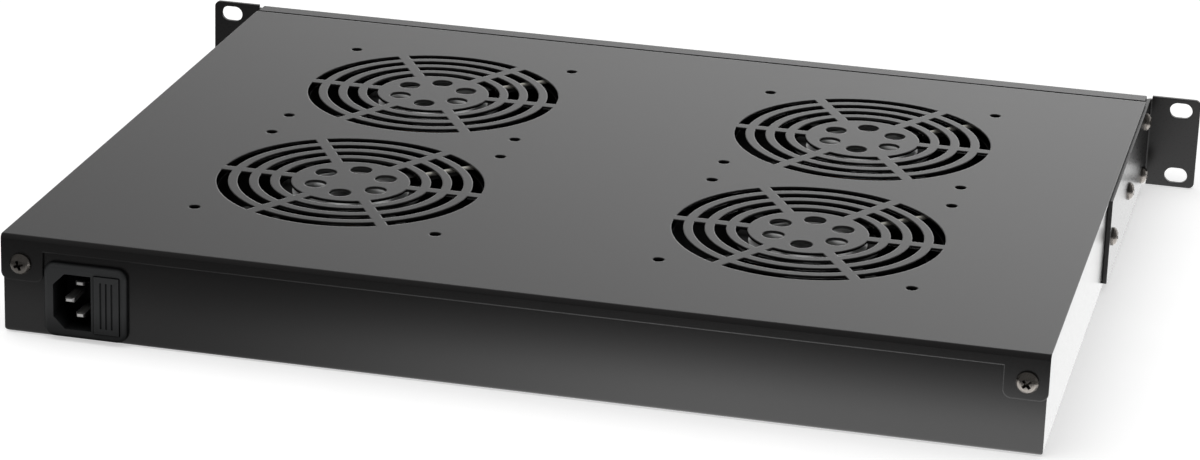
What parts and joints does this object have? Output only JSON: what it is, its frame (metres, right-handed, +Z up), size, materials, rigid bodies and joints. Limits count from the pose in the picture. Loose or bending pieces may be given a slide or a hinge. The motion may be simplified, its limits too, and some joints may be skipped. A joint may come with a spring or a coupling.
{
  "type": "rack fan tray",
  "caption": "Flat steel tray for a 19 inch rack, with mains fans that blow up through round slotted grilles, rack ears on long side brackets and a fused mains inlet at the rear.",
  "frame": {"origin": "middle of the rack ear slots, on the plane where the ears meet the rack rails", "axes": "+X right as seen from the front, +Y back into the rack, +Z up, the way the fans blow"},
  "size_m": [0.4826, 0.355, 0.043],
  "materials": {
    "powder_coated_steel": "satin black powder coat on folded mild steel",
    "plated_steel": "bright zinc plate",
    "earth_insulation": "green and yellow cable insulation",
    "ground_steel": "ground steel",
    "copper_wire": "enamelled copper wire",
    "cast_aluminium": "black painted die casting",
    "label_foil": "bare silver foil",
    "pale_insulation": "pale grey cable insulation",
    "impeller_plastic": "glass filled black thermoplastic",
    "motor_laminations": "varnished electrical steel",
    "plated_brass": "nickel plated brass",
    "inlet_plastic": "moulded black thermoplastic",
    "fuse_glass": "clear glass tube",
    "brown_insulation": "brown cable insulation",
    "blue_insulation": "blue cable insulation",
    "rocker_plastic": "moulded black nylon",
    "black_insulation": "black cable insulation"
  },
  "bodies": {
    "chassis": {"base_tray": "powder_coated_steel", "bracket_nuts": "plated_steel", "bracket_screws": "plated_steel", "cover_nuts": "plated_steel", "cover_screws": "plated_steel", "earth_lead": "earth_insulation", "earth_lug": "plated_steel", "earth_nuts": "plated_steel", "earth_stud": "plated_steel", "fan_1_bearings": "ground_steel", "fan_1_coils": "copper_wire", "fan_1_frame": "cast_aluminium", "fan_1_label": "label_foil", "fan_1_lead": "pale_insulation", "fan_1_stator": "motor_laminations", "fan_2_bearings": "ground_steel", "fan_2_coils": "copper_wire", "fan_2_frame": "cast_aluminium", "fan_2_label": "label_foil", "fan_2_lead": "pale_insulation", "fan_2_stator": "motor_laminations", "fan_3_bearings": "ground_steel", "fan_3_coils": "copper_wire", "fan_3_frame": "cast_aluminium", "fan_3_label": "label_foil", "fan_3_lead": "pale_insulation", "fan_3_stator": "motor_laminations", "fan_4_bearings": "ground_steel", "fan_4_coils": "copper_wire", "fan_4_frame": "cast_aluminium", "fan_4_label": "label_foil", "fan_4_lead": "pale_insulation", "fan_4_stator": "motor_laminations", "fan_screws": "plated_steel", "inlet_body": "inlet_plastic", "inlet_pins": "plated_brass", "left_rack_bracket": "powder_coated_steel", "line_lead": "brown_insulation", "neutral_lead": "blue_insulation", "right_rack_bracket": "powder_coated_steel", "switch_body": "inlet_plastic", "switch_tags": "plated_brass", "switched_lead": "black_insulation", "terminal_block": "inlet_plastic", "terminal_block_screw": "plated_steel", "terminal_screws": "plated_steel", "top_cover": "powder_coated_steel"},
    "fan_1_impeller": {"fan_1_rotor": "impeller_plastic", "fan_1_shaft": "ground_steel"},
    "fan_2_impeller": {"fan_2_rotor": "impeller_plastic", "fan_2_shaft": "ground_steel"},
    "fan_3_impeller": {"fan_3_rotor": "impeller_plastic", "fan_3_shaft": "ground_steel"},
    "fan_4_impeller": {"fan_4_rotor": "impeller_plastic", "fan_4_shaft": "ground_steel"},
    "fuse_carrier": {"fuse_drawer": "inlet_plastic", "fuse_glass": "fuse_glass", "fuse_caps": "plated_brass"},
    "rocker": {"switch_rocker": "rocker_plastic"}
  },
  "joints": [
    {"name": "fan_1_spin", "type": "hinge", "parent": "chassis", "child": "fan_1_impeller", "pos_m": [-0.1, 0.106, 0], "axis": [0, 0, 1], "continuous": true},
    {"name": "fan_2_spin", "type": "hinge", "parent": "chassis", "child": "fan_2_impeller", "pos_m": [0.1, 0.106, 0], "axis": [0, 0, 1], "continuous": true},
    {"name": "fan_3_spin", "type": "hinge", "parent": "chassis", "child": "fan_3_impeller", "pos_m": [-0.1, 0.236, 0], "axis": [0, 0, 1], "continuous": true},
    {"name": "fan_4_spin", "type": "hinge", "parent": "chassis", "child": "fan_4_impeller", "pos_m": [0.1, 0.236, 0], "axis": [0, 0, 1], "continuous": true},
    {"name": "fuse_drawer_slide", "type": "slide", "parent": "chassis", "child": "fuse_carrier", "axis": [0, 1, 0], "range_m": [0, 0.018]},
    {"name": "switch_rocker_tilt", "type": "hinge", "parent": "chassis", "child": "rocker", "pos_m": [0.185, 0, 0], "axis": [1, 0, 0], "range_deg": [0, 26]}
  ]
}
